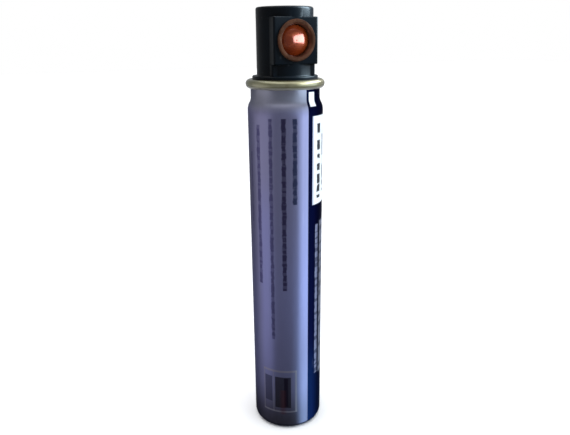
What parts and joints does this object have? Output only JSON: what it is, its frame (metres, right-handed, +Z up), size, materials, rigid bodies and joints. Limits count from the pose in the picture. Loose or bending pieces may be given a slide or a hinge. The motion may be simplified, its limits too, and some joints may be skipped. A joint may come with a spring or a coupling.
{
  "type": "fuel canister",
  "caption": "Slim aluminium fuel canister with a crimped valve cup and a black clipped-on metering head whose side outlet holds a sprung, domed plunger.",
  "frame": {"origin": "centre of the ring that the can stands on, at its foot", "axes": "+Z up along the can's axis; the outlet faces -Y"},
  "size_m": [0.031, 0.031, 0.1787],
  "materials": {
    "printed_can": "satin silver-lavender lacquer on aluminium with a navy printed side",
    "cup_lacquer": "olive-cream lacquered sheet, slightly glossy",
    "black_rubber": "matte moulded rubber",
    "stem_plastic": "natural white moulded plastic",
    "head_plastic": "satin blue-black moulding",
    "ring_tan": "tan-brown, slightly glossy",
    "plunger_amber": "polished copper-brown",
    "spring_steel": "bright drawn wire"
  },
  "bodies": {
    "canister": {"can_body": "printed_can", "cup_gasket": "black_rubber", "valve_cup": "cup_lacquer", "stem_gasket": "black_rubber", "can_valve_stem": "stem_plastic", "valve_housing": "head_plastic", "inlet_seal": "black_rubber", "outlet_ring": "ring_tan", "plunger_spring": "spring_steel", "shaft_seal": "black_rubber", "metering_sleeve": "stem_plastic", "chamber_seal": "black_rubber"},
    "plunger": {"outlet_plunger": "plunger_amber"}
  },
  "joints": [
    {"name": "outlet_press", "type": "slide", "parent": "canister", "child": "plunger", "axis": [0, 1, 0], "range_m": [0, 0.002], "stiffness_N_per_m": 900, "springref_m": -0.001, "deforming": ["plunger_spring"]}
  ]
}
